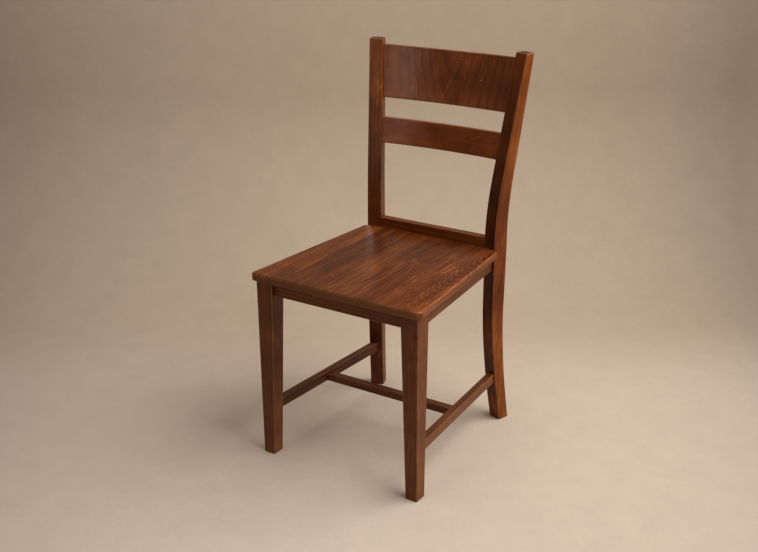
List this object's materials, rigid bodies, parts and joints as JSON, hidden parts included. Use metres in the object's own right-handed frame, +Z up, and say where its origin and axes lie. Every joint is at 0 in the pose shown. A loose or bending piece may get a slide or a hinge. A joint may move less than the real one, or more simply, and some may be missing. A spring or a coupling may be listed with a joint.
{
  "type": "side chair",
  "caption": "Solid wood side chair with a plank seat, canted back posts, a curved crest rail and slat, tapered front legs and an H stretcher.",
  "frame": {"origin": "on the floor, under the middle of the chair's box", "axes": "+Z up, the sitter faces -Y, +X to the left hand of the sitter, which is the right side of the picture"},
  "size_m": [0.44, 0.5364, 0.905],
  "materials": {
    "seat_wood": "red-brown stain under satin lacquer",
    "frame_wood": "red-brown stain under satin lacquer",
    "back_wood": "red-brown stain under satin lacquer",
    "raw_wood": "bare, planed",
    "screw_steel": "zinc plated"
  },
  "bodies": {
    "root": {"seat_plank_1": "seat_wood", "seat_plank_2": "seat_wood", "seat_plank_3": "seat_wood", "seat_plank_4": "seat_wood", "seat_plank_5": "seat_wood", "front_leg_left": "frame_wood", "front_leg_right": "frame_wood", "back_post_left": "frame_wood", "back_post_right": "frame_wood", "crest_rail": "back_wood", "back_slat": "back_wood", "seat_rail": "frame_wood", "front_apron": "frame_wood", "side_apron_left": "frame_wood", "side_apron_right": "frame_wood", "side_stretcher_left": "frame_wood", "side_stretcher_right": "frame_wood", "cross_stretcher": "frame_wood", "corner_block_front_left": "raw_wood", "corner_block_front_right": "raw_wood", "corner_block_back_left": "raw_wood", "corner_block_back_right": "raw_wood", "apron_dowels": "raw_wood", "block_screws": "screw_steel", "seat_screws": "screw_steel"}
  },
  "joints": []
}
